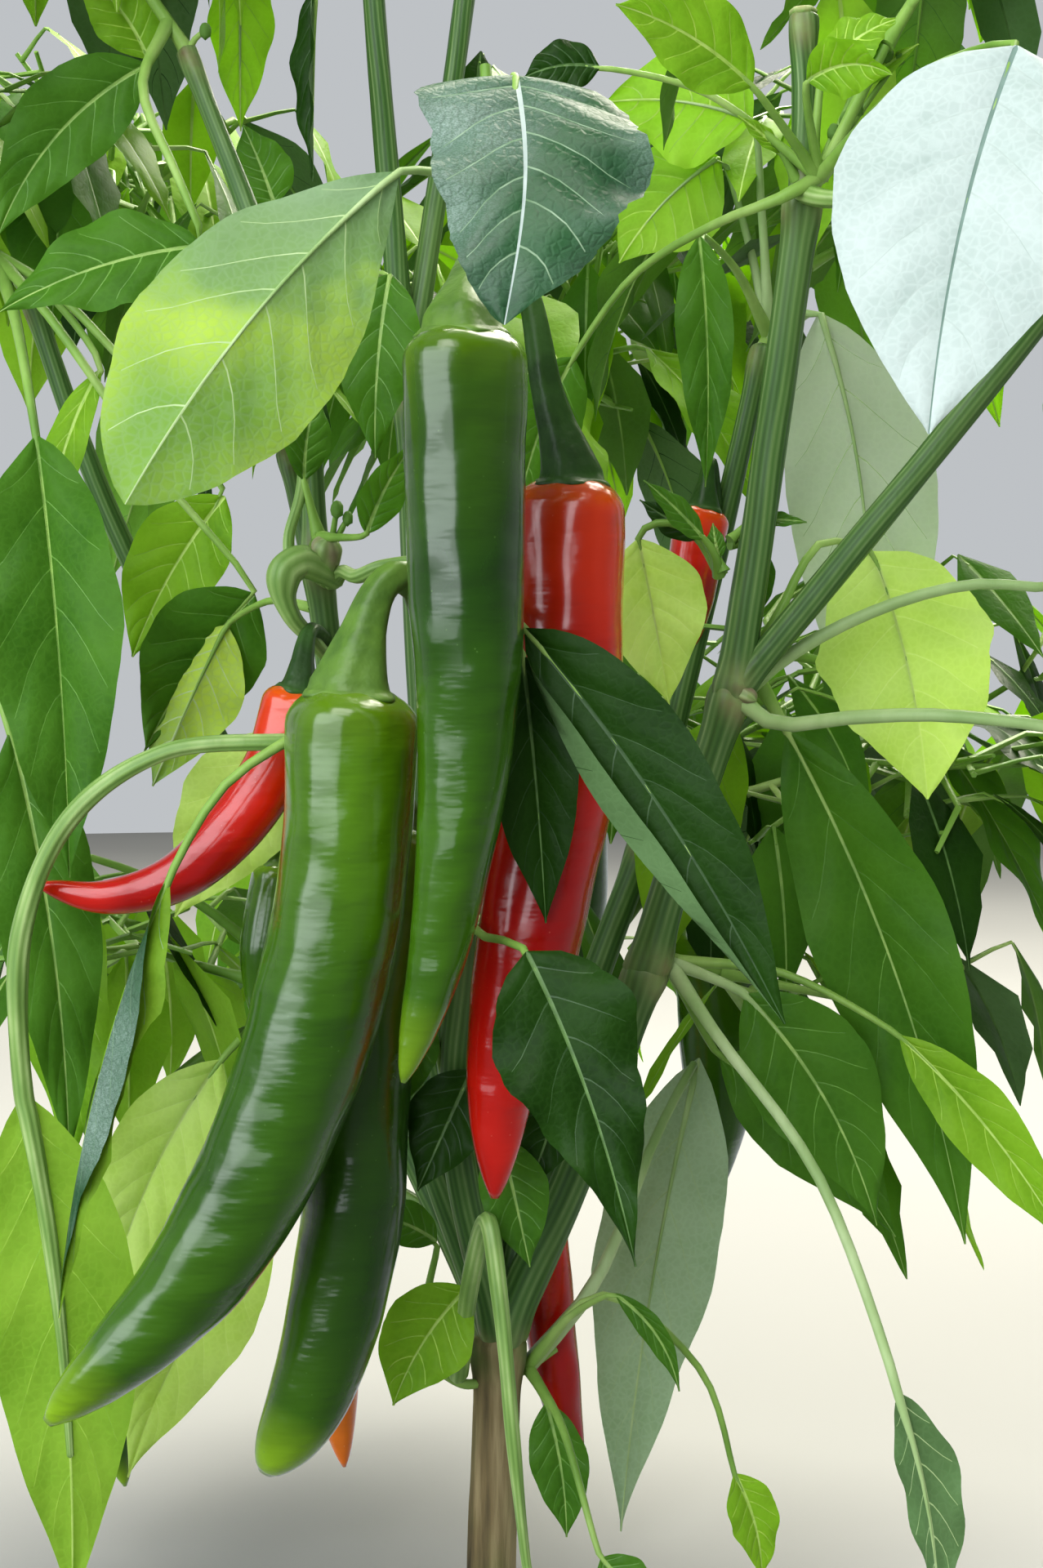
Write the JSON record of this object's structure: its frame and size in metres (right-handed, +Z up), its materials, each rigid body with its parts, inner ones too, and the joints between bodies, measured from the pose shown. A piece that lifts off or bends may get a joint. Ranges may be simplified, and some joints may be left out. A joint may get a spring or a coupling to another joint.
{
  "type": "chilli pepper plant",
  "caption": "Chilli pepper plant in fruit: a woody foot forks into green boughs with hanging leaves and long smooth pods, green and red.",
  "frame": {"origin": "centre of the flat cut under the main stem, at ground level", "axes": "+Z up along the stem, +X to the right and -Y towards the viewer in the front view"},
  "size_m": [0.4647, 0.3499, 0.5829],
  "materials": {
    "wood_bark": "matt, streaked",
    "green_bark": "satin, ribbed",
    "green_pod": "glossy",
    "red_pod": "glossy",
    "orange_pod": "glossy",
    "foliage": "satin"
  },
  "bodies": {
    "root": {"trunk": "wood_bark", "bough_right_low": "green_bark", "bough_right_middle": "green_bark", "bough_right_upper": "green_bark", "bough_right_stub": "green_bark", "bough_right_outer": "green_bark", "bough_front_low": "green_bark", "bough_front_high": "green_bark", "bough_left_low": "green_bark", "bough_left_middle": "green_bark", "bough_left_upper": "green_bark", "bough_outer_low": "green_bark", "bough_outer_high": "green_bark", "bough_centre": "green_bark", "bough_centre_left": "green_bark", "bough_centre_right": "green_bark", "bough_rear_right_low": "green_bark", "bough_rear_right_high": "green_bark", "bough_rear_low": "green_bark", "bough_rear_high": "green_bark", "bough_rear_left": "green_bark", "pod_green_front": "green_pod", "pod_green_left": "green_pod", "pod_green_low": "green_pod", "pod_red_front": "red_pod", "pod_red_left": "red_pod", "pod_red_low": "red_pod", "pod_red_right": "red_pod", "pod_green_small": "green_pod", "pod_green_far_left": "green_pod", "pod_orange_low": "orange_pod", "pod_rear_green": "green_pod", "pod_rear_red": "red_pod", "pod_rear_right": "green_pod", "pod_right_high": "green_pod", "leaves_right_top": "foliage", "leaves_right_outer": "foliage", "leaves_right_middle": "foliage", "leaves_right_low": "foliage", "leaves_foot_right": "foliage", "leaves_foot_left": "foliage", "leaves_front": "foliage", "leaves_front_top": "foliage", "leaves_left_knuckle": "foliage", "leaves_left_front": "foliage", "leaves_left_top": "foliage", "leaves_left_outer": "foliage", "leaves_left_low": "foliage", "leaves_centre_low": "foliage", "leaves_centre_left": "foliage", "leaves_centre_right": "foliage", "leaves_rear_right_top": "foliage", "leaves_rear_right_low": "foliage", "leaves_rear_top": "foliage", "leaves_rear_low": "foliage", "leaves_rear_left": "foliage"}
  },
  "joints": []
}
